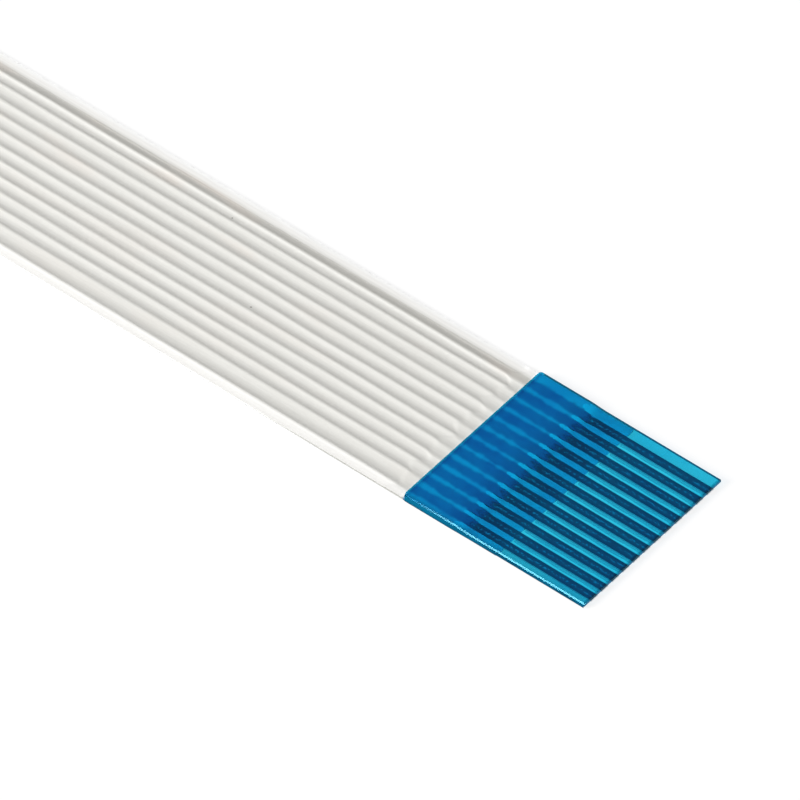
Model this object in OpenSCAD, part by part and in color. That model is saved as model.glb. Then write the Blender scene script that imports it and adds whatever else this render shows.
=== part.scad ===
// Flat flex cable: flat conductors laminated between two insulation films,
// with a stiffener bonded on top of each end and bare contacts underneath it.
// X runs along the cable, Y across it, and the ribs of the lower film lie on Z = 0.
// The origin is at the middle of the cable, on the surface that it lies on.

/* [Cable] */
// Number of conductors
contacts = 12; // [4:1:30]
// Distance from one conductor's centre to the next
pitch = 1; // [0.9:0.05:2.5]
// Length from one cut end to the other
cable_length = 100; // [45:1:300]
// Distance from the centre of the outermost conductor to the cut edge
edge_margin = 1; // [0.6:0.05:2]

/* [Conductors] */
// Width of each conductor
conductor_width = 0.6; // [0.3:0.02:0.66]
// Thickness of each conductor
conductor_thickness = 0.1; // [0.04:0.01:0.15]

/* [Films] */
// Thickness of each insulation film with its glue
film_thickness = 0.08; // [0.04:0.01:0.12]
// Width of the slope where a film dips down beside a conductor
shoulder_width = 0.12; // [0.04:0.01:0.12]

/* [Stiffened ends] */
// Length of each stiffener along the cable
stiffener_length = 13.8; // [11:0.1:20]
// Thickness of each stiffener
stiffener_thickness = 0.2; // [0.1:0.01:0.3]
// Length over which the contacts are bare underneath, from the cut end
contact_length = 6.7; // [3:0.1:8]
// Length of upper film that is caught under each stiffener
film_lap = 3.9; // [1:0.1:5]
// Length over which the stiffener steps down from the film to the conductors
step_length = 0.6; // [0.2:0.05:1.2]
// Radius of the stiffener's two corners on the cable side
corner_radius = 0.2; // [0.05:0.05:0.5]

/* [Hidden] */
$fn = 32;
film_color = "white";
conductor_color = "silver";
stiffener_color = "deepskyblue";

cable_width = (contacts - 1) * pitch + 2 * edge_margin;
half_length = cable_length / 2;
half_conductor = conductor_width / 2;
// Each film dips by half a conductor between the ribs, so that the two films meet halfway.
film_dip = conductor_thickness / 2;
conductor_bottom = film_thickness;
conductor_top = conductor_bottom + conductor_thickness;
middle = conductor_bottom + film_dip;
rib_top = conductor_top + film_thickness;
lower_film_end = half_length - contact_length;
stiffener_start = half_length - stiffener_length;
upper_film_end = stiffener_start + film_lap;
step_end = upper_film_end + step_length;

function conductor_y(i) = ((contacts + 1) / 2 - i) * pitch;
function conductor_name(i) = str("conductor_", i < 10 ? "0" : "", i);
conductor_names = [for (i = [1:contacts]) conductor_name(i)];

// Carries a section drawn in Y and Z along X, centred on the origin.
module along_cable(length) {
    translate([-length / 2, 0, 0])
        rotate([90, 0, 90])
            linear_extrude(height = length)
                children();
}

// Section of the lower film: ribs below, and a groove above for each conductor.
module lower_film_section() {
    order = [contacts:-1:1];
    ribs_below = [
        for (i = order)
            for (corner = [
                [-half_conductor - shoulder_width, film_dip],
                [-half_conductor, 0],
                [half_conductor, 0],
                [half_conductor + shoulder_width, film_dip]
            ]) [conductor_y(i) + corner[0], corner[1]]
    ];
    grooves_above = [
        for (i = [1:contacts])
            for (corner = [
                [half_conductor, middle],
                [half_conductor, conductor_bottom],
                [-half_conductor, conductor_bottom],
                [-half_conductor, middle]
            ]) [conductor_y(i) + corner[0], corner[1]]
    ];
    polygon(concat(
        [[-cable_width / 2, middle], [-cable_width / 2, film_dip]],
        ribs_below,
        [[cable_width / 2, film_dip], [cable_width / 2, middle]],
        grooves_above
    ));
}

module bottom_film() {
    color(film_color)
        along_cable(2 * lower_film_end)
            lower_film_section();
}

// The upper film is the lower one's mirror image in the plane where they meet.
module top_film() {
    color(film_color)
        translate([0, 0, 2 * middle])
            mirror([0, 0, 1])
                along_cable(2 * upper_film_end)
                    lower_film_section();
}

module conductor(i) {
    color(conductor_color)
        translate([-half_length, conductor_y(i) - half_conductor, conductor_bottom])
            cube([cable_length, conductor_width, conductor_thickness]);
}

// Side view of a stiffener: it lies on the film, then steps down to the conductors.
module stiffener_side() {
    underside = [
        [stiffener_start, rib_top],
        [upper_film_end, rib_top],
        [step_end, conductor_top],
        [half_length, conductor_top]
    ];
    polygon(concat(
        underside,
        [for (i = [3:-1:0]) underside[i] + [0, stiffener_thickness]]
    ));
}

// Plan of a stiffener: square at the cut end, with two rounded corners on the cable side.
module stiffener_plan() {
    corner_x = stiffener_start + corner_radius;
    corner_y = cable_width / 2 - corner_radius;
    translate([corner_x, -cable_width / 2])
        square([half_length - corner_x, cable_width]);
    translate([stiffener_start, -corner_y])
        square([corner_radius, 2 * corner_y]);
    for (side = [-1, 1])
        translate([corner_x, side * corner_y])
            circle(r = corner_radius);
}

module stiffener() {
    color(stiffener_color)
        intersection() {
            translate([0, cable_width / 2, 0])
                rotate([90, 0, 0])
                    linear_extrude(height = cable_width)
                        stiffener_side();
            linear_extrude(height = rib_top + stiffener_thickness)
                stiffener_plan();
        }
}

module front_stiffener() {
    stiffener();
}

module rear_stiffener() {
    rotate([0, 0, 180])
        stiffener();
}

top_film();
bottom_film();
front_stiffener();
rear_stiffener();
for (i = [1:contacts])
    conductor(i);
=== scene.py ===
"""Dresses a flat flex cable: two laminated white films, twelve tinned conductors and two blue stiffeners.

The CAD frame gives every place and size. X runs along the cable, Y across it and Z up, and lengths are in
metres.
"""
import math

import bpy
import numpy as np
from bpy.props import FloatProperty, FloatVectorProperty, PointerProperty
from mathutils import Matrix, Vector


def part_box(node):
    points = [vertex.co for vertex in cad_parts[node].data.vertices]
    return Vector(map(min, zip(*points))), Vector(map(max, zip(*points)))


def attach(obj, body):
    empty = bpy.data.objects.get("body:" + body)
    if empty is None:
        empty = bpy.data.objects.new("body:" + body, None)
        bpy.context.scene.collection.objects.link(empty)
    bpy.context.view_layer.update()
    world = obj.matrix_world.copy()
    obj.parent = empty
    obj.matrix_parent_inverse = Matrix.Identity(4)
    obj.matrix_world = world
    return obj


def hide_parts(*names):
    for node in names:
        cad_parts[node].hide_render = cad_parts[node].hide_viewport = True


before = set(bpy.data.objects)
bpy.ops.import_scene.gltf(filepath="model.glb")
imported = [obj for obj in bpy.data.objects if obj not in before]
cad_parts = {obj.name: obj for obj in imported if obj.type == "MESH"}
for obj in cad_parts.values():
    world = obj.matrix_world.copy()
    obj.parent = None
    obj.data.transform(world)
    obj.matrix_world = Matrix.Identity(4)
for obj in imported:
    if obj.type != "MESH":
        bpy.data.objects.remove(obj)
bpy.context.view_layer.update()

bl_info = {
    "name": "Flat flex cable",
    "version": (1, 0, 0),
    "blender": (4, 5, 0),
    "location": "3D View > Sidebar > Flex cable",
    "description": "Makes the films, conductors and stiffeners of a flat flex cable",
    "category": "Add Mesh",
}

MM = 0.001
CONDUCTORS = sorted(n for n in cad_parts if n.startswith("conductor_"))


def centre_y(node):
    """How far across the cable the middle of a node lies."""
    low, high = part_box(node)
    return (low.y + high.y) / 2


# Facts of the frame, in metres: the conductors from the far edge to the near one, and where each layer ends.
ROWS = np.array([centre_y(n) for n in CONDUCTORS])
PITCH = float(abs(ROWS[0] - ROWS[1]))
HALF_ROW = (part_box(CONDUCTORS[0])[1].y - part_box(CONDUCTORS[0])[0].y) / 2
METAL_LOW, METAL_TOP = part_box(CONDUCTORS[0])[0].z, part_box(CONDUCTORS[0])[1].z
HALF_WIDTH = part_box("top_film")[1].y
FILM_LOW, FILM_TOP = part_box("bottom_film")[0].z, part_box("top_film")[1].z
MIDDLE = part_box("bottom_film")[1].z
LOWER_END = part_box("bottom_film")[1].x
UPPER_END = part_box("top_film")[1].x
BLUE_START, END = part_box("front_stiffener")[0].x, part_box("front_stiffener")[1].x
BLUE_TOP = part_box("front_stiffener")[1].z

# Sizes of the drawn surfaces that more than one piece follows.
CLEARANCE = .002 * MM  # kept between a film and what it lies on
BLUE_THICKNESS = BLUE_TOP - FILM_TOP - .003 * MM
WIDEST_GAP = .5 * MM  # between two conductors; a wider channel lies along a cut edge
STEP_LENGTH = 1.3 * MM  # over which the stiffener's underside eases down to the metal
ROLL_SLOPE = math.tan(math.radians(47))  # of the long edge that the die rolled over


def linear(code, alpha=1.0):
    """Turns an sRGB hex colour into linear RGBA.

    Each channel c becomes ((c + 0.055) / 1.055) to the power 2.4.
    """
    channels = [int(code[i:i + 2], 16) / 255 for i in (1, 3, 5)]
    return [c / 12.92 if c <= 0.04045 else ((c + 0.055) / 1.055) ** 2.4 for c in channels] + [alpha]


# ---------------------------------------------------------------- sizes and colours a user would change


def size(name, description, default, low, high):
    """A length that a user may change, in metres."""
    return FloatProperty(name=name, description=description, default=default, min=low, max=high,
                         unit="LENGTH", subtype="DISTANCE", precision=6)


def colour(name, description, default):
    """A colour that a user may change, in linear RGB."""
    return FloatVectorProperty(name=name, description=description, default=default[:3], size=3,
                               min=0, max=1, subtype="COLOR")


class FlexCableSizes(bpy.types.PropertyGroup):
    """Sizes of the drawn surfaces, which stray from the frame's solids by hundredths of a millimetre."""
    valley: size("Valley depth", "How far the upper film sags between two conductors", 0.064 * MM, 0,
                 0.07 * MM)
    crest: size("Crest half width", "Half the width over which the film turns over a conductor", 0.12 * MM,
                0.05 * MM, 0.3 * MM)
    wander: size("Rib wander", "How far a rib strays sideways along the cable", 0.028 * MM, 0, 0.1 * MM)
    press: size("Pressed band", "Length of film pressed flatter in front of each stiffener", 1.3 * MM,
                0, 3 * MM)
    edge_roll: size("Stiffener edge roll",
                    "Width of the slope rolled onto the long edge where the die came down",
                    0.075 * MM, 0.01 * MM, 0.1 * MM)
    tuck: size("Edge tuck",
               "How far in the die left the top of that edge, above the skin that it drew down", 0.07 * MM,
               0, 0.15 * MM)
    droop: size("Margin droop", "How far the films' free margins droop to their cut edges", 0.022 * MM, 0,
                0.03 * MM)
    corner: size("Stiffener corner", "Radius of the stiffener's two corners on the cable side", 0.2 * MM,
                 0.05 * MM, 0.5 * MM)
    lean: size("Rib lean", "How far the crests lie to the near side of the conductors", 0.10 * MM, 0,
               0.2 * MM)
    bare_line: size("Bare line", "Width of the gap left clear of glue along each bare contact", 0.14 * MM,
                    0.02 * MM, 0.2 * MM)


class FlexCableColours(bpy.types.PropertyGroup):
    """Colours of the finishes, in linear values."""
    film: colour("White film", "White polyester where nothing lies under it", linear("#F7F6F3"))
    film_over_metal: colour("Film over metal", "White polyester where the conductors grey it",
                            linear("#DAD9D4"))
    blue: colour("Blue film", "What one pass through the dyed stiffener lets through", [0.03, 0.62, 0.855])
    tin: colour("Tin", "Tin plating on the conductors", linear("#E4E7EC"))
    glue: colour("Glue", "Squeezed-out glue at the films' ends", linear("#FFFFFF"))
    floor: colour("Floor", "The plain pale floor", linear("#FFFFFF"))


# ---------------------------------------------------------------- meshes


def make_object(name, points, faces, material):
    """A mesh object at the origin, riding on the cable.

    It shades smoothly, but for edges of over 40 degrees.
    """
    mesh = bpy.data.meshes.new(name)
    mesh.from_pydata(points.reshape(-1, 3), [], faces)
    mesh.polygons.foreach_set("use_smooth", np.ones(len(faces), bool))
    mesh.set_sharp_from_angle(angle=math.radians(40))
    mesh.update()
    mesh.materials.append(material)
    obj = bpy.data.objects.new(name, mesh)
    bpy.context.scene.collection.objects.link(obj)
    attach(obj, "root")
    return obj


def sheet_faces(nx, ny, first=0):
    """Faces of a closed sheet whose upper points come first and lower ones after, each an nx by ny grid.

    The upper side turns one way and the lower one the other, and four walls of quads join their rims.
    """
    upper = first + np.arange(nx * ny).reshape(nx, ny)
    lower = upper + nx * ny

    def quads(a, b, c, d):
        return np.stack([a.ravel(), b.ravel(), c.ravel(), d.ravel()], 1)

    sides = [
        quads(upper[:-1, :-1], upper[1:, :-1], upper[1:, 1:], upper[:-1, 1:]),
        quads(lower[:-1, :-1], lower[:-1, 1:], lower[1:, 1:], lower[1:, :-1]),
    ]
    walls = [
        quads(lower[:-1, 0], lower[1:, 0], upper[1:, 0], upper[:-1, 0]),
        quads(upper[:-1, -1], upper[1:, -1], lower[1:, -1], lower[:-1, -1]),
        quads(lower[-1, :-1], lower[-1, 1:], upper[-1, 1:], upper[-1, :-1]),
        quads(lower[0, :-1], upper[0, :-1], upper[0, 1:], lower[0, 1:]),
    ]
    return np.concatenate(sides + walls)


def sheet(name, x, y, upper, lower, material):
    """A closed sheet: z is upper(x, y) on top and lower(x, y) below, over the same grid of x and y."""
    return make_object(name, layers(x, y, upper, lower), sheet_faces(*x.shape), material)


def across():
    """Places across the cable: denser beside each conductor's edges, where the films step."""
    phases = np.array([0, .04, .08, .11, .14, .18, .22, .26, .29, .31, .33, .35, .38, .42, .46]) * PITCH
    rows = [ROWS[:, None] + s * phases[None, :] for s in (-1, 1)]
    gaps = (ROWS[:-1] + ROWS[1:]) / 2
    rims = np.concatenate([np.linspace(ROWS.max() + .5 * PITCH, HALF_WIDTH, 9),
                           np.linspace(-HALF_WIDTH, ROWS.min() - .5 * PITCH, 9)])
    return np.unique(np.round(np.concatenate([r.ravel() for r in rows] + [gaps, rims]), 8))


def along(end, press):
    """Places along the cable up to its two film ends: denser beside the stiffeners, where the ribs fade."""
    pressed = np.linspace(BLUE_START - press - 1.6 * MM, BLUE_START - .26 * MM, 24)
    bonded = np.linspace(BLUE_START - .23 * MM, BLUE_START - .01 * MM, 8)
    under = np.linspace(BLUE_START + .2 * MM, end, 5)
    middle = np.linspace(0, pressed[0], 25)[1:]
    half = np.concatenate([middle, pressed[1:], bonded, under])
    return np.concatenate([-half[::-1], [0], half])


def smooth(t):
    """A smooth step: 0 up to t = 0, then 3 t squared less 2 t cubed, and 1 from t = 1."""
    t = np.clip(t, 0, 1)
    return t * t * (3 - 2 * t)


def ease(start, length, count):
    """Places from start over a length, as evenly turned points of a quarter circle: densest at the start."""
    return start + length * (1 - np.cos(np.linspace(0, np.pi / 2, count)))


def quarter(t):
    """The height of a unit quarter circle: 1 up to t = 0, then the root of one less t squared, down to 0."""
    return np.sqrt(np.clip(1 - np.clip(t, 0, 1) ** 2, 0, 1))


def layers(x, y, upper, lower):
    """The points of a closed sheet: its upper grid, then its lower one."""
    return np.stack([np.stack([x, y, upper], -1), np.stack([x, y, lower], -1)])


def pick(table, index):
    """For each place, the value of its row in a table whose last axis is the rows."""
    return np.take_along_axis(table, index[..., None], -1)[..., 0]


def wave(x, row, spans, seed):
    """A slow waver along x, from -1 to 1.

    It is the mean of sines of the spans' lengths, and each row has its own phases.
    """
    phases = np.random.default_rng(seed).uniform(0, 2 * np.pi, (len(spans), len(ROWS) + 2))
    parts = [np.sin(2 * np.pi * x / s + phases[i][row]) for i, s in enumerate(spans)]
    return sum(parts) / len(spans)


def rib_relief(x, y, sizes):
    """How far the upper film lies below its crests, from 0 to the valley depth.

    From one crest to the next the slope is a saw: it falls in a straight line across the crest, then climbs
    back in a straight line over the rest, so the height is a narrow parabola on each crest and a wide one
    in the gap. Each crest leans to the near side of its conductor, the outermost ones more, and wanders and
    swells slowly along x. Outside the outermost crests the film falls the same way to the margin, which
    droops in a straight line. In the pressed band in front of each stiffener the ribs fade and shift a
    little, and at the stiffener's edge the film rises in a smooth step and is bonded flat to it.
    """
    start = BLUE_START - sizes.press * (1 + .17 * np.sin(y / (.38 * MM)) + .12 * np.sin(y / (.21 * MM) + 1.3))
    fade = smooth((np.abs(x) - start) / (.4 * MM))
    rows, last = np.arange(len(ROWS)), len(ROWS) - 1
    crests = ROWS - sizes.lean - np.where(rows == 0, .19, np.where(rows == last, .27, 0)) * MM
    crests = crests + sizes.wander * wave(x[..., None], rows, (23 * MM, 9.5 * MM), 2)
    crests = crests - fade[..., None] * .10 * MM
    row = np.argmin(np.abs(y[..., None] - crests), -1)
    side = row - np.sign(y - pick(crests, row)).astype(int)
    space = np.abs(pick(crests, np.clip(side, 0, last)) - pick(crests, row))
    space = np.where(side < 0, 1.35 * MM, np.where(side > last, 2 * PITCH, np.maximum(space, .5 * MM)))
    p = np.clip(np.abs(y - pick(crests, row)) / space, 0, .5)
    waves = wave(x[..., None], rows, (31 * MM, 13 * MM), 3)
    swell = 1 + .10 * (pick(waves, row) * (1 - p) + pick(waves, np.clip(side, 0, last)) * p)
    places = ROWS[[-1, -1, 1, 1, 0]] + PITCH * np.array([-.3, .5, -.2, .3, 0])
    swell = swell + np.interp(y, places, [.25, 0, 0, -.1, .35])
    c = sizes.crest / space
    inner = p * p / (2 * c)
    outer = c / 2 + ((.5 - c) ** 2 - (.5 - p) ** 2) / (2 * (.5 - c))
    depth = sizes.valley * 4 * np.where(p < c, inner, outer) * swell * (1 - .45 * fade)
    margin = np.clip((np.abs(y) - np.abs(ROWS[0]) - .4 * MM) / (.6 * MM), 0, 1)
    relief = np.clip(depth, 0, .1 * MM) + sizes.droop * margin
    return relief * (1 - smooth((np.abs(x) - BLUE_START + .22 * MM) / (.2 * MM)))


def rib_step(y, low, high, width):
    """Goes from low over a conductor to high in a gap, in a smooth step just outside the conductor's edge."""
    beside = np.min(np.abs(y[..., None] - ROWS), -1) - HALF_ROW - .005 * MM
    return low + (high - low) * smooth(beside / width)


def half_width(x, sizes):
    """Half the stiffener's width: full, but for a quarter circle at the corner on the cable side."""
    behind = np.clip(BLUE_START + sizes.corner - x, 0, sizes.corner)
    return HALF_WIDTH - sizes.corner + np.sqrt(sizes.corner ** 2 - behind ** 2)


def underside(x):
    """Height of the front stiffener's underside.

    On the upper film, then down to the metal in a smooth step.
    """
    down = smooth((x - UPPER_END + .05 * MM) / STEP_LENGTH)
    return FILM_TOP + CLEARANCE - (FILM_TOP - METAL_TOP) * down


# ---------------------------------------------------------------- materials


def add(tree, kind, settings=None, **links):
    """Adds a node of a kind, sets its properties and input values, and links its inputs.

    settings holds both: a key that is one of the node's properties is set on it, and any other names an
    input by its number. A link's name is in_ and the input's number.
    """
    node = tree.nodes.new("ShaderNode" + kind)
    for key, value in (settings or {}).items():
        if isinstance(key, str) and hasattr(node, key):
            setattr(node, key, value)
        else:
            node.inputs[key].default_value = value
    for key, source in links.items():
        tree.links.new(source, node.inputs[int(key[3:])])
    return node


def new_material(name):
    """An empty material: its tree and its output node."""
    material = bpy.data.materials.new(name)
    material.use_nodes = True
    material.node_tree.nodes.clear()
    return material, material.node_tree, add(material.node_tree, "OutputMaterial")


def place(tree):
    """The place on the object in millimetres, as X, Y and Z outputs and as a vector."""
    mm = add(tree, "VectorMath", {"operation": "SCALE", 3: 1000.0},
             in_0=add(tree, "TexCoord").outputs["Object"]).outputs[0]
    return mm, add(tree, "SeparateXYZ", in_0=mm).outputs


def ramp(tree, value, low, high, to_low=0.0, to_high=1.0):
    """A smooth step of a value: to_low below low, and to_high above high."""
    return add(tree, "MapRange", {"interpolation_type": "SMOOTHSTEP", 1: low, 2: high, 3: to_low, 4: to_high},
               in_0=value).outputs[0]


def maths(tree, operation, a, b=None):
    """One Math node. a and b are outputs or numbers."""
    settings, links = {"operation": operation}, {}
    for i, v in enumerate((a, b)):
        if isinstance(v, (int, float)):
            settings[i] = v
        elif v is not None:
            links[f"in_{i}"] = v
    return add(tree, "Math", settings, **links).outputs[0]


def blend(tree, factor, a, b):
    """Mixes two colours, which are outputs or linear RGB values."""
    node = add(tree, "Mix", {"data_type": "RGBA"}, in_0=factor)
    for i, v in ((6, a), (7, b)):
        if isinstance(v, bpy.types.NodeSocket):
            tree.links.new(v, node.inputs[i])
        else:
            node.inputs[i].default_value = list(v)[:3] + [1]
    return node.outputs[2]


def noise(tree, mm, stretch, scale, detail=2.0, rough=.5):
    """Fractal noise in millimetres, stretched along the axes by a Mapping node."""
    mapped = add(tree, "Mapping", {3: stretch}, in_0=mm).outputs[0]
    return add(tree, "TexNoise", {"Scale": scale, "Detail": detail, "Roughness": rough},
               in_0=mapped).outputs[0]


def gap_distance(tree, y):
    """How far a place is from the middle of the nearest conductor, in pitches: 0 on it and 0.5 mid-gap."""
    first = ROWS[0] / MM
    turned = maths(tree, "DIVIDE", maths(tree, "SUBTRACT", y, first), PITCH / MM)
    return maths(tree, "PINGPONG", turned, .5)


def white_film(colours):
    """White-pigmented polyester film, cast, stretched and laminated with hot glue.

    The surface is satin, with a faint drawn grain along the cable. Metal behind the thin film greys it, light
    spreads sideways in the pigment and softens that, and the free margins stay nearly pure white.
    """
    material, tree, out = new_material("white_polyester_film")
    mm, (x, y, z) = place(tree)
    far, near = maths(tree, "ABSOLUTE", x), maths(tree, "ABSOLUTE", y)
    # The grey band starts within a third of a millimetre of the outermost conductors' edges.
    banded = ramp(tree, near, 5.72, 6.12, 1, 0)
    gap = gap_distance(tree, y)
    over = ramp(tree, gap, .22, .40, 1, 0)
    pressed = ramp(tree, far, BLUE_START / MM - .02, BLUE_START / MM + .01)
    # In the open the metal barely darkens its own band more than the gap; under the stiffener's glue it does.
    grey = maths(tree, "MULTIPLY", banded, maths(tree, "ADD", .92, maths(tree, "MULTIPLY", over, .1)))
    # The film over the outermost conductor's flank is a little greyer on the far side: painted shade on the
    # slope that faces away from the lamps.
    far_flank_painted_shade = maths(tree, "MULTIPLY", ramp(tree, y, 5.18, 5.36), ramp(tree, y, 5.66, 5.92, 1, 0))
    metal = blend(tree, maths(tree, "MULTIPLY", far_flank_painted_shade, .55), colours.film_over_metal, linear("#B9B7B0"))
    colour = blend(tree, ramp(tree, y, 6.15, 6.45), colours.film, linear("#FFFFFE"))
    colour = blend(tree, ramp(tree, y, -6.15, -5.9, 1, 0), colour, linear("#E8E7E4"))
    colour = blend(tree, grey, colour, metal)
    # Faint warm patches of thinner pigment, about 7 mm long and 2 mm wide, towards the far side.
    patch = ramp(tree, noise(tree, mm, (.14, .5, 1), 1.0, 1), .52, .72)
    warm = maths(tree, "MULTIPLY", maths(tree, "MULTIPLY", patch, banded), ramp(tree, y, .5, 4.5, .1, .5))
    colour = blend(tree, warm, colour, linear("#E0D5CB"))
    # Under the stiffener its glue wets the film, so the metal shows through more, with a wavering pale line
    # mid-gap.
    waver = maths(tree, "MULTIPLY", maths(tree, "SUBTRACT", noise(tree, mm, (1.3, .5, 1), 1.0, 2), .5), .45)
    line = ramp(tree, maths(tree, "ADD", gap, waver), .24, .52)
    line = maths(tree, "MAXIMUM", line, maths(tree, "SUBTRACT", 1.0, banded))
    late = ramp(tree, far, UPPER_END / MM - 1.35, UPPER_END / MM - .3)
    wet = blend(tree, late, linear("#849DC2"), linear("#7F87AE"))
    wet = blend(tree, ramp(tree, noise(tree, mm, (1.1, 1.8, 1), 1.0, 2), .42, .62, 0, .5), wet,
                linear("#7889B6"))
    wet = blend(tree, line, wet, linear("#D6DEEA"))
    colour = blend(tree, pressed, colour, wet)
    # The cut edges are painted a little greyer towards the ends, as painted shade on the cut sides, and the
    # die drew a skin of blue plastic down over them there.
    cut = ramp(tree, near, HALF_WIDTH / MM - .003, HALF_WIDTH / MM - .001)
    edge_shade_reach = ramp(tree, far, 22, 31)
    colour = blend(tree, maths(tree, "MULTIPLY", cut, edge_shade_reach), colour, linear("#A5A49F"))
    # The skin is darker towards the bottom: painted shade along the foot of the cut edge.
    skin = blend(tree, ramp(tree, z, .03, .22), linear("#023552"), linear("#086892"))
    start = ramp(tree, far, BLUE_START / MM, BLUE_START / MM + .03)
    skinned = maths(tree, "MULTIPLY", cut, start)
    colour = blend(tree, skinned, colour, skin)
    # Two specks of dust are caught between the films.
    for px, py, radius in ((13.7, 4.7, .08), (19.3, -.27, .1)):
        apart = add(tree, "VectorMath", {"operation": "DISTANCE", 1: (px, py, FILM_TOP / MM - .03)}, in_0=mm)
        colour = blend(tree, ramp(tree, apart.outputs["Value"], radius * .4, radius, .75, 0), colour,
                       linear("#77736C"))
    # Drawn grain: streaks some 2 mm long and 0.15 mm wide, which is as coarse as it has to be to show.
    grain = noise(tree, mm, (.5, 6, 6), 1.0, 3, .6)
    colour = blend(tree, ramp(tree, grain, .3, .75, .0, .09), colour, linear("#A9A8A2"))
    bump = add(tree, "Bump", {"Strength": .25, "Distance": .00002}, in_3=grain).outputs[0]
    shader = add(tree, "BsdfPrincipled", {"Roughness": .42, "IOR": 1.57})
    tree.links.new(colour, shader.inputs["Base Color"])
    tree.links.new(ramp(tree, grain, .3, .7, .36, .5), shader.inputs["Roughness"])
    tree.links.new(bump, shader.inputs["Normal"])
    tree.links.new(shader.outputs[0], out.inputs[0])
    return material


def blue_film(colours):
    """Dyed clear polyester sheet, cast and die-cut.

    It is a filter: light that passes through takes the blue, so white below shows cyan-blue and metal shows
    navy. Its faces mirror faintly, as smooth plastic does, and the cut edges look dark because light runs
    lengthwise there. The long edge that the die rolled over catches the light.
    """
    material, tree, out = new_material("dyed_polyester_sheet")
    mm, (x, _, _) = place(tree)
    # A ray crosses two faces, so each face takes the square root of one pass. The dye is a little uneven.
    cloud = noise(tree, mm, (.35, .6, 1), 1.0, 2)
    face = [math.sqrt(c) for c in colours.blue]
    tint = blend(tree, ramp(tree, cloud, .35, .65, 0, 1), face,
                 [face[0] * .8, face[1] * .955, face[2] * .985])
    geometry = add(tree, "NewGeometry").outputs
    _, sideways, flat = add(tree, "SeparateXYZ", in_0=geometry["True Normal"]).outputs
    back = geometry["Backfacing"]
    # Cut walls: seen from outside they glow a deep teal, and from inside they hold the light back and look
    # dark.
    wall = blend(tree, back, [.02, .22, .40], [.02, .16, .24])
    # The wall on the cable side is wet with glue, so it lets more through, and the knife bruised the
    # sheet's cut end.
    far = maths(tree, "ABSOLUTE", x)
    wall = blend(tree, ramp(tree, far, BLUE_START / MM + .2, BLUE_START / MM + .4, 1, 0), wall,
                 [.05, .42, .62])
    tint = blend(tree, ramp(tree, far, END / MM - .22, END / MM - .1), tint, [.05, .50, .64])
    tint = blend(tree, ramp(tree, maths(tree, "ABSOLUTE", flat), .2, .5, 1, 0), tint, wall)
    through = add(tree, "BsdfTransparent", in_0=tint).outputs[0]
    # Share mirrored on the way in: 4.8% face on, and more at a glance, by the fifth power of one minus the
    # cosine.
    facing = maths(tree, "POWER", add(tree, "LayerWeight", {0: .5}).outputs["Facing"], 5.0)
    share = maths(tree, "ADD", .048, maths(tree, "MULTIPLY", facing, .95))
    share = maths(tree, "MULTIPLY", share, maths(tree, "SUBTRACT", 1.0, back))
    # The rolled long edge is burnished by the die, less so towards the cable, so it mirrors a deeper blue
    # there.
    rolled = maths(tree, "MULTIPLY", ramp(tree, maths(tree, "ABSOLUTE", sideways), .5, .6),
                   ramp(tree, maths(tree, "ABSOLUTE", flat), .5, .6))
    share = maths(tree, "ADD", share, maths(tree, "MULTIPLY", rolled, .4))
    edge = blend(tree, ramp(tree, far, BLUE_START / MM, BLUE_START / MM + 5), [.001, .015, .030],
                 [.017, .060, .078])
    mirror = add(tree, "BsdfGlossy", {"Roughness": .16}, in_0=blend(tree, rolled, [.35, .85, 1], edge))
    mixed = add(tree, "MixShader", in_0=share, in_1=through, in_2=mirror.outputs[0])
    tree.links.new(mixed.outputs[0], out.inputs[0])
    return material


def drawn_skin():
    """The same dyed polyester, smeared thin by the die: matt and deep, and darkest along its torn hem, where
    the dark is painted shade.
    """
    material, tree, out = new_material("drawn_dyed_polyester_skin")
    mm, (x, _, z) = place(tree)
    far = maths(tree, "ABSOLUTE", x)
    smear = noise(tree, mm, (.8, 1, 6), 1.0, 2)
    colour = blend(tree, ramp(tree, far, BLUE_START / MM + 1, LOWER_END / MM + .6), linear("#075877"),
                   linear("#054059"))
    hem = ramp(tree, far, UPPER_END / MM - .6, LOWER_END / MM + .6, .04, .13)
    above = maths(tree, "SUBTRACT", z, hem)
    # Painted shade: darker towards the hem, at the foot of the edge.
    colour = blend(tree, ramp(tree, above, .0, .09, .85, 0), colour, linear("#032230"))
    colour = blend(tree, ramp(tree, smear, .4, .7, 0, .3), colour, linear("#096488"))
    shader = add(tree, "BsdfPrincipled", {"Roughness": .5, "IOR": 1.57, "Specular IOR Level": 0.0})
    tree.links.new(colour, shader.inputs["Base Color"])
    tree.links.new(shader.outputs[0], out.inputs[0])
    return material


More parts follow.
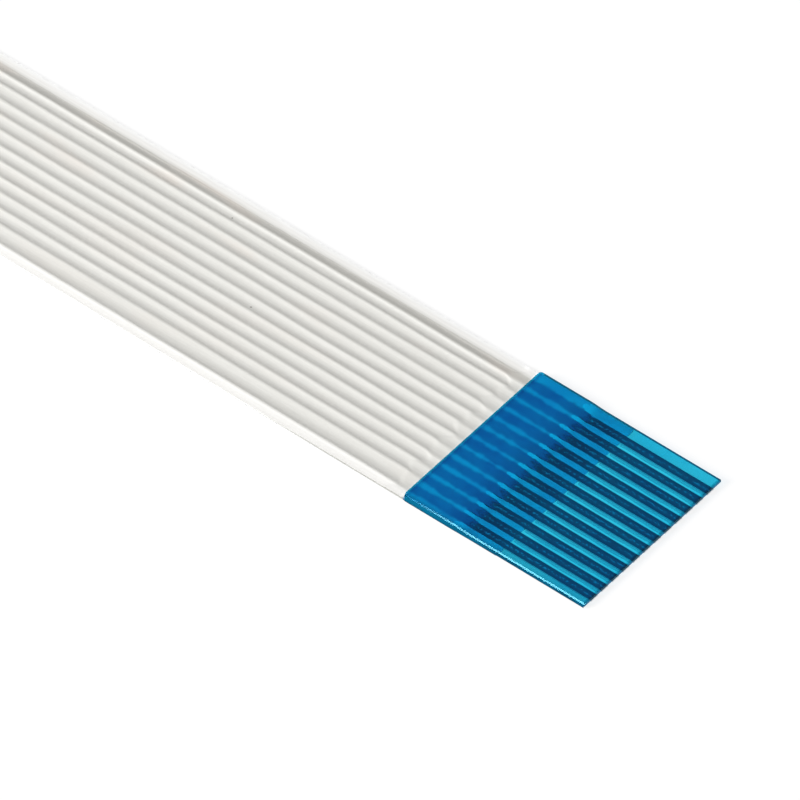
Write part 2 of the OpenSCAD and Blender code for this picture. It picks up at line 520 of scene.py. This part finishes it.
def tinned_copper(colours):
    """Flat-rolled copper ribbon, electroplated with tin.

    A bright soft metal with fine rolling lines, dull smudges of glue and oxide where the films were cut back,
    flanks darkened by painted shade, and a broken lighter line along its middle, a painted highlight on
    duller, rougher marks.
    """
    material, tree, out = new_material("tinned_copper")
    mm, (x, y, z) = place(tree)
    gap = gap_distance(tree, y)
    far = maths(tree, "ABSOLUTE", x)
    lines = noise(tree, mm, (.8, 22, 4), 1.0, 3, .6)
    fuzz = noise(tree, mm, (1.1, 3.2, 1), 1.0, 3, .6)
    fuzzy_x = maths(tree, "ADD", far, maths(tree, "MULTIPLY", maths(tree, "SUBTRACT", fuzz, .5), 1.6))
    colour = blend(tree, ramp(tree, lines, .35, .7, 0, .45), colours.tin, linear("#9EA5AE"))
    # The flanks of the ribbon roll over a little; their darker colour is painted shade.
    colour = blend(tree, ramp(tree, gap, .16, .28, 0, .35), colour, linear("#6E7880"))
    smudge = maths(tree, "MULTIPLY", ramp(tree, fuzzy_x, UPPER_END / MM + .5, UPPER_END / MM + 1.1),
                   ramp(tree, fuzzy_x, LOWER_END / MM - 1.2, LOWER_END / MM + .6, 1, 0))
    smudge = maths(tree, "MULTIPLY", smudge, ramp(tree, gap, .12, .3, 1, .35))
    colour = blend(tree, maths(tree, "MULTIPLY", smudge, .55), colour, linear("#3A2C38"))
    haze = ramp(tree, fuzzy_x, UPPER_END / MM + .1, UPPER_END / MM + .8, 1, 0)
    colour = blend(tree, haze, colour, linear("#C9C6F0"))
    # The upper face is wet with glue, which gives it a faint violet cast.
    top = ramp(tree, z, METAL_TOP / MM - .02, METAL_TOP / MM - .005, 0, .5)
    colour = blend(tree, top, colour, linear("#A2A4DC"))
    # Painted highlight: white specks along the middle of each conductor.
    painted_glint_dots = maths(tree, "MULTIPLY", ramp(tree, noise(tree, mm, (7.5, 10, 1), 1.0, 1), .51, .59),
                 ramp(tree, gap, .04, .11, 1, 0))
    colour = blend(tree, maths(tree, "MULTIPLY", painted_glint_dots, .6), colour, linear("#FFFFFF"))
    rough = maths(tree, "ADD", ramp(tree, lines, .3, .7, .3, .42),
                  maths(tree, "MULTIPLY", maths(tree, "MAXIMUM", painted_glint_dots, haze), .32))
    bump = add(tree, "Bump", {"Strength": .3, "Distance": .00001}, in_3=lines).outputs[0]
    # The marks of the painted highlight along the middle are duller than the rest, so they scatter some light
    # as well as mirroring it.
    shader = add(tree, "BsdfPrincipled")
    tree.links.new(maths(tree, "SUBTRACT", 1.0, maths(tree, "MULTIPLY", painted_glint_dots, .1)), shader.inputs["Metallic"])
    tree.links.new(colour, shader.inputs["Base Color"])
    tree.links.new(rough, shader.inputs["Roughness"])
    tree.links.new(bump, shader.inputs["Normal"])
    tree.links.new(shader.outputs[0], out.inputs[0])
    return material


def milky_glue(colours):
    """Hot-melt glue pressed into the gaps between the conductors.

    Milky white where it is thick, with a wet skin.
    """
    material, tree, out = new_material("milky_hot_melt_glue")
    mm, (x, y, _) = place(tree)
    cloud = ramp(tree, noise(tree, mm, (1.2, 3, 3), 1.0, 2), .35, .65)
    # Its head, at the film's end, is thicker and whiter than the strip behind it.
    head = ramp(tree, maths(tree, "ABSOLUTE", x), UPPER_END / MM + .2, UPPER_END / MM + .75, 1, 0)
    strip = blend(tree, cloud, linear("#DCD6DE"), linear("#EAE5EA"))
    # The die wiped blue plastic over its cut edge too.
    wiped = ramp(tree, maths(tree, "ABSOLUTE", y), HALF_WIDTH / MM - .02, HALF_WIDTH / MM - .01)
    colour = blend(tree, wiped, blend(tree, head, strip, colours.glue), linear("#054A6E"))
    shader = add(tree, "BsdfPrincipled", {"Roughness": .3, "IOR": 1.48})
    tree.links.new(colour, shader.inputs["Base Color"])
    tree.links.new(shader.outputs[0], out.inputs[0])
    return material


def feathered_glue():
    """The same glue where it ran out over the metal.

    A violet-grey haze that breaks up into feathers and ends.
    """
    material, tree, out = new_material("feathered_hot_melt_glue")
    mm, (x, y, _) = place(tree)
    far = maths(tree, "ABSOLUTE", x)
    fuzz = noise(tree, mm, (1.3, 3.4, 1), 1.0, 3, .65)
    reach = maths(tree, "ADD", far, maths(tree, "MULTIPLY", maths(tree, "SUBTRACT", fuzz, .5), 1.5))
    reach = maths(tree, "ADD", reach,
                  maths(tree, "MULTIPLY", ramp(tree, gap_distance(tree, y), .0, .3, 1, 0), .22))
    alpha = ramp(tree, reach, UPPER_END / MM + .25, UPPER_END / MM + 1.05, 1, 0)
    shader = add(tree, "BsdfPrincipled", {"Roughness": .4, "IOR": 1.48})
    early = ramp(tree, far, UPPER_END / MM, UPPER_END / MM + .5)
    tree.links.new(blend(tree, early, linear("#7F87AE"), linear("#8784B0")), shader.inputs["Base Color"])
    tree.links.new(alpha, shader.inputs["Alpha"])
    tree.links.new(shader.outputs[0], out.inputs[0])
    return material


def thin_glue():
    """A thin coat of the same glue on the stiffener's underside.

    It dims what lies below it, least at one margin.
    """
    material, tree, out = new_material("thin_hot_melt_glue")
    _, (_, y, _) = place(tree)
    shader = add(tree, "BsdfPrincipled", {"Base Color": linear("#B2BCBA"), "Roughness": .4, "IOR": 1.48})
    tree.links.new(ramp(tree, y, 5.7, 5.9, .30, .13), shader.inputs["Alpha"])
    tree.links.new(shader.outputs[0], out.inputs[0])
    return material


def pale_floor(colours):
    """A smooth pale table top that is seen as white and keeps a soft shadow."""
    material, tree, out = new_material("pale_table_top")
    path = add(tree, "LightPath").outputs
    seen = maths(tree, "MAXIMUM", maths(tree, "MAXIMUM", path["Is Camera Ray"], path["Is Glossy Ray"]),
                 path["Is Transmission Ray"])
    matt = add(tree, "BsdfDiffuse", {"Color": (.2, .2, .2, 1)})
    glow = add(tree, "Emission", {"Color": list(colours.floor) + [1]},
               in_1=maths(tree, "MULTIPLY", seen, .82))
    tree.links.new(add(tree, "AddShader", in_0=matt.outputs[0], in_1=glow.outputs[0]).outputs[0],
                   out.inputs[0])
    return material


# ---------------------------------------------------------------- pieces


class FLEXCABLE_OT_stage(bpy.types.Operator):
    """Makes the camera, the pale floor, the dim room and the soft lamps"""
    bl_idname = "flex_cable.add_stage"
    bl_label = "Stage"

    def execute(self, context):
        scene = context.scene
        scene.view_settings.view_transform = "Standard"
        turn, rise, distance = math.radians(39.36), math.radians(47.11), .8813
        back = Vector((math.sin(turn) * math.cos(rise), -math.cos(turn) * math.cos(rise), math.sin(rise)))
        camera = bpy.data.objects.new("camera", bpy.data.cameras.new("camera"))
        camera.data.sensor_width, camera.data.lens = 36, 663.7
        camera.data.clip_start, camera.data.clip_end = .05, 20
        camera.location = Vector((30.93 * MM, -.33 * MM, 0)) + back * distance
        camera.rotation_mode = "QUATERNION"
        camera.rotation_quaternion = (-back).to_track_quat("-Z", "Y")
        scene.collection.objects.link(camera)
        scene.camera = camera
        # The floor is a plain square, a hundredth of a millimetre below the ribs that rest on it.
        reach, level = 4.0, -.01 * MM
        mesh = bpy.data.meshes.new("floor")
        mesh.from_pydata([(-reach, -reach, level), (reach, -reach, level), (reach, reach, level),
                          (-reach, reach, level)], [], [(0, 1, 2, 3)])
        mesh.materials.append(pale_floor(scene.flex_cable_colours))
        floor = bpy.data.objects.new("floor", mesh)
        scene.collection.objects.link(floor)
        lamp_distance = .7
        for name, way, power, width in (("lamp_near", (-.43, -.76, .42), 7.4, .30),
                                        ("lamp_above", (-.15, -.45, .88), 1.4, .50)):
            lamp = bpy.data.lights.new(name, "AREA")
            lamp.shape, lamp.size, lamp.energy = "SQUARE", width, power
            obj = bpy.data.objects.new(name, lamp)
            obj.location = Vector((.02, 0, 0)) + Vector(way).normalized() * lamp_distance
            obj.rotation_mode = "QUATERNION"
            obj.rotation_quaternion = Vector(way).normalized().to_track_quat("Z", "Y")
            scene.collection.objects.link(obj)
        self.room(scene)
        return {"FINISHED"}

    def room(self, scene):
        """A dim even room.

        Its colour rises to pale near the horizon, so that low views keep a pale background.
        """
        world = bpy.data.worlds.new("room")
        world.use_nodes = True
        tree = world.node_tree
        tree.nodes.clear()
        height = add(tree, "SeparateXYZ", in_0=add(tree, "TexCoord").outputs["Generated"]).outputs[2]
        shade = blend(tree, ramp(tree, height, .05, .25), (.9, .9, .9), (.2, .2, .2))
        surface = add(tree, "Background", {1: 1.0}, in_0=shade)
        tree.links.new(surface.outputs[0], add(tree, "OutputWorld").inputs[0])
        scene.world = world


class FLEXCABLE_OT_films(bpy.types.Operator):
    """Makes the two white films, embossed by the conductors between them"""
    bl_idname = "flex_cable.add_films"
    bl_label = "White films"

    def execute(self, context):
        sizes, colours = context.scene.flex_cable_sizes, context.scene.flex_cable_colours
        material = white_film(colours)
        y = across()
        xx, yy = np.meshgrid(along(LOWER_END, sizes.press), y, indexing="ij")
        below = rib_step(yy, FILM_LOW, FILM_LOW + .05 * MM, .12 * MM)
        above = rib_step(yy, METAL_LOW - CLEARANCE, MIDDLE - CLEARANCE, .03 * MM)
        lower = sheet("lower_film", xx, yy, above, below, material)
        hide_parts("bottom_film")
        xx, yy = np.meshgrid(along(UPPER_END, sizes.press), y, indexing="ij")
        above = FILM_TOP - CLEARANCE - rib_relief(xx, yy, sizes)
        below = rib_step(yy, METAL_TOP + CLEARANCE, MIDDLE, .03 * MM)
        upper = sheet("upper_film", xx, yy, above, below, material)
        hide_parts("top_film")
        return {"FINISHED"}


class FLEXCABLE_OT_stiffeners(bpy.types.Operator):
    """Makes the blue stiffener on top of each end"""
    bl_idname = "flex_cable.add_stiffeners"
    bl_label = "Blue stiffeners"

    def execute(self, context):
        sizes = context.scene.flex_cable_sizes
        material = blue_film(context.scene.flex_cable_colours)
        for name, node, turn in (("front_blue_sheet", "front_stiffener", 1),
                                 ("rear_blue_sheet", "rear_stiffener", -1)):
            obj = self.stiffener(name, turn, sizes, material)
            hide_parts(node)
        material = drawn_skin()
        for name, turn in (("front_drawn_skin", 1), ("rear_drawn_skin", -1)):
            points = self.skin(sizes) * [turn, turn, 1]
            make_object(name, points, sheet_faces(*points.shape[1:3]), material)
        return {"FINISHED"}

    def skin(self, sizes):
        """The skin of blue plastic that the die drew down from the rolled edge over the near cut edge.

        Its section leans out in a smooth step over the first 0.12 mm, then hangs just outside the films'
        cut edges and flares by 0.015 mm. Its hem is low beside the films and rises in a straight line where
        they end.
        """
        x = np.concatenate([ease(BLUE_START, sizes.corner, 12),
                            np.linspace(BLUE_START + sizes.corner, END - .002 * MM, 110)[1:]])
        top = underside(x) + BLUE_THICKNESS - sizes.edge_roll * ROLL_SLOPE
        hem = np.interp(x, [BLUE_START, UPPER_END - .4 * MM, LOWER_END + .5 * MM, END],
                        np.array([.035, .045, .125, .14]) * MM)
        share = half_width(x, sizes)
        wall, out = -share * (1 - sizes.tuck / HALF_WIDTH), -share - .005 * MM
        up = np.linspace(0, 1, 10)[None, :]
        z = hem[:, None] + (top - hem)[:, None] * up
        lean = smooth((top[:, None] - z) / (.12 * MM))
        y = wall[:, None] + (out - wall)[:, None] * lean - .015 * MM * (1 - up)
        xx = x[:, None] + 0 * up
        return np.stack([np.stack([xx, y - .001 * MM, z], -1), np.stack([xx, y + .003 * MM, z], -1)])

    def stiffener(self, name, turn, sizes, material):
        """A bent sheet of even thickness. Its underside steps down from film to metal in a smooth step.

        Its half width follows a quarter circle at the cable-side corners. Its top slopes away at 47 degrees
        beside one long edge.
        """
        roll = sizes.edge_roll
        step = np.linspace(UPPER_END - .15 * MM, UPPER_END + STEP_LENGTH, 20)
        corner = ease(BLUE_START, sizes.corner, 14)
        x = np.unique(np.round(np.concatenate([
            corner, np.linspace(BLUE_START + sizes.corner, step[0], 24),
            step, np.linspace(step[-1], END, 30)]), 8))
        near = -HALF_WIDTH + sizes.tuck
        y = np.concatenate([near + roll * np.array([0, .1, .9, 1, 1.1]),
                            np.linspace(near + 3 * roll, HALF_WIDTH, 78)])
        share = half_width(x, sizes)[:, None] / HALF_WIDTH
        xx, yy = x[:, None] + 0 * y[None, :], share * y[None, :]
        lower = underside(xx)
        upper = lower + BLUE_THICKNESS
        upper = upper - np.clip(roll - (yy - share * near), 0, roll) * ROLL_SLOPE
        if turn < 0:
            xx, yy = -xx[::-1, ::-1], -yy[::-1, ::-1]
            upper, lower = upper[::-1, ::-1], lower[::-1, ::-1]
        return sheet(name, xx, yy, upper, lower, material)


class FLEXCABLE_OT_conductors(bpy.types.Operator):
    """Finishes the twelve flat conductors in tin"""
    bl_idname = "flex_cable.finish_conductors"
    bl_label = "Tinned conductors"

    def execute(self, context):
        material = tinned_copper(context.scene.flex_cable_colours)
        for node in CONDUCTORS:
            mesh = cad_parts[node].data
            mesh.materials.clear()
            mesh.materials.append(material)
        return {"FINISHED"}


class FLEXCABLE_OT_glue(bpy.types.Operator):
    """Makes the glue that fills the gaps under each stiffener"""
    bl_idname = "flex_cable.add_glue"
    bl_label = "Glue in the gaps"

    def execute(self, context):
        sizes = context.scene.flex_cable_sizes
        colours = context.scene.flex_cable_colours
        milky, thin, feather = milky_glue(colours), thin_glue(), feathered_glue()
        # Each channel runs between two conductors, or between an outermost one and the cut edge.
        edges = np.concatenate([[HALF_WIDTH - .005 * MM], ROWS, [-HALF_WIDTH + .005 * MM]])
        inset = np.concatenate([[0], np.full(len(ROWS), HALF_ROW), [0]])
        channels = [(edges[i + 1] + inset[i + 1], edges[i] - inset[i]) for i in range(len(edges) - 1)]
        for end, turn in (("front", 1), ("rear", -1)):
            rng = np.random.default_rng(11)
            fills = [self.fill(low, high, rng) for low, high in channels]
            self.join(end + "_milky_glue", fills, turn, milky)
            self.join(end + "_feathered_glue", [self.feather(row, sizes) for row in ROWS], turn, feather)
            coats = [self.coat(low, high, sizes, rng) for low, high in channels]
            self.join(end + "_thin_glue", coats, turn, thin)
        return {"FINISHED"}

    def join(self, name, grids, turn, material):
        """One object of many closed sheets, each given as its grids of points."""
        points, faces, first = [], [], 0
        for grid in grids:
            faces.append(sheet_faces(*grid.shape[1:3], first))
            points.append((grid * [turn, turn, 1]).reshape(-1, 3))
            first += len(points[-1])
        obj = make_object(name, np.concatenate(points), np.concatenate(faces), material)

    def fill(self, low, high, rng):
        """Milky glue from the upper film's end to just past the lower film's.

        It has a round head, then a neck, then a strip.
        The half width is that of the channel times a profile along x: a quarter circle at the head, a dip
        just behind it, and a short rounding at the far end. The top follows the stiffener's underside.
        """
        start = UPPER_END - (.28 + .14 * rng.random()) * MM
        stop = LOWER_END + (.07 + .05 * rng.random()) * MM
        head_length, tail_length = .2 * MM, .06 * MM
        x = np.concatenate([ease(start, head_length, 9),
                            np.linspace(start + head_length, stop - tail_length, 40)[1:],
                            stop - tail_length * (1 - np.sin(np.linspace(0, np.pi / 2, 6)))[1:]])
        head = quarter((start + head_length - x) / head_length)
        tail = quarter((x - stop + tail_length) / tail_length)
        neck = 1 - (.36 + .1 * rng.random()) * np.exp(-((x - start - .75 * MM) / (.45 * MM)) ** 2)
        ripple = 1 + .05 * np.sin(2 * np.pi * (x / (1.3 * MM) + rng.random()))
        share = np.clip(head * neck * ripple, .02, 1) * np.clip(tail, .3, 1)
        thick = .014 * MM
        if high - low > WIDEST_GAP:
            share = np.clip(head, .02, 1) * np.clip(tail, .3, 1)
            thick = np.where(x > UPPER_END, underside(x) - MIDDLE - .008 * MM, thick)[:, None]
        v = np.linspace(-1, 1, 9)[None, :]
        xx = x[:, None] + 0 * v
        yy = (low + high) / 2 + (high - low) / 2 * share[:, None] * v
        top = underside(xx) - .003 * MM - .002 * MM * v ** 2
        return layers(xx, yy, top, top - thick)

    def feather(self, row, sizes):
        """A skin of glue over one conductor.

        From the end of the film above it down along the stiffener's step.
        """
        x = np.linspace(UPPER_END - .004 * MM, UPPER_END + 1.4 * MM, 30)
        y = row + np.linspace(-HALF_ROW - .02 * MM, HALF_ROW + .02 * MM, 10)
        xx, yy = np.meshgrid(x, y, indexing="ij")
        top = np.maximum(underside(xx) - .004 * MM, METAL_TOP + .0012 * MM)
        film = FILM_TOP - rib_relief(0 * xx + UPPER_END, yy, sizes)
        top = film + (top - film) * smooth((xx - UPPER_END) / (.3 * MM))
        top = np.minimum(top, underside(xx) - .0003 * MM)
        return layers(xx, yy, top, top - .0005 * MM)

    def coat(self, low, high, sizes, rng):
        """Thin glue from beside the lower film's end to the cut end.

        It leaves a clear line along its near side. Its head is a quarter circle, and its top lies just below
        the stiffener's underside.
        """
        inner = high - low < WIDEST_GAP
        start = LOWER_END + ((.15 + .08 * rng.random()) * MM if inner else .02 * MM)
        stop = END - .12 * MM
        head_length = .12 * MM
        x = np.concatenate([ease(start, head_length, 8), np.linspace(start + head_length, stop, 40)[1:]])
        head = quarter((start + head_length - x) / head_length)
        ripple = 1 + .15 * np.sin(2 * np.pi * (x / (2.7 * MM) + rng.random()))
        line = (sizes.bare_line if inner else .01 * MM) * ripple
        v = np.linspace(0, 1, 7)[None, :]
        xx = x[:, None] + 0 * v
        near = low + line[:, None] + (1 - head[:, None]) * .1 * MM
        far = high - .015 * MM - (1 - head[:, None]) * .1 * MM
        yy = near + (far - near) * v
        top = underside(xx) - .004 * MM + 0 * v
        return layers(xx, yy, top, top - .006 * MM)


class FLEXCABLE_OT_declare(bpy.types.Operator):
    """A step that does nothing"""
    bl_idname = "flex_cable.declare"
    bl_label = "Declare the cord"

    def execute(self, context):
        return {"FINISHED"}


class FLEXCABLE_PT_panel(bpy.types.Panel):
    """Lists the pieces and their sizes and colours"""
    bl_idname = "FLEXCABLE_PT_panel"
    bl_label = "Flex cable"
    bl_space_type = "VIEW_3D"
    bl_region_type = "UI"
    bl_category = "Flex cable"

    def draw(self, context):
        for group in (context.scene.flex_cable_sizes, context.scene.flex_cable_colours):
            box = self.layout.box()
            for name in group.bl_rna.properties.keys():
                if name not in ("rna_type", "name"):
                    box.prop(group, name)
        for operator in STEPS:
            self.layout.operator(operator.bl_idname)


STEPS = (FLEXCABLE_OT_stage, FLEXCABLE_OT_films, FLEXCABLE_OT_stiffeners, FLEXCABLE_OT_conductors,
         FLEXCABLE_OT_glue, FLEXCABLE_OT_declare)
CLASSES = (FlexCableSizes, FlexCableColours, *STEPS, FLEXCABLE_PT_panel)


def register():
    """Registers the classes and hangs the sizes and colours on the scene."""
    for cls in CLASSES:
        bpy.utils.register_class(cls)
    bpy.types.Scene.flex_cable_sizes = PointerProperty(type=FlexCableSizes)
    bpy.types.Scene.flex_cable_colours = PointerProperty(type=FlexCableColours)


def unregister():
    """Undoes register, in the opposite order."""
    del bpy.types.Scene.flex_cable_colours
    del bpy.types.Scene.flex_cable_sizes
    for cls in reversed(CLASSES):
        bpy.utils.unregister_class(cls)


def main():
    """Makes every piece in order."""
    register()
    for operator in STEPS:
        group, call = operator.bl_idname.split(".")
        getattr(getattr(bpy.ops, group), call)()


if __name__ == "__main__":
    main()
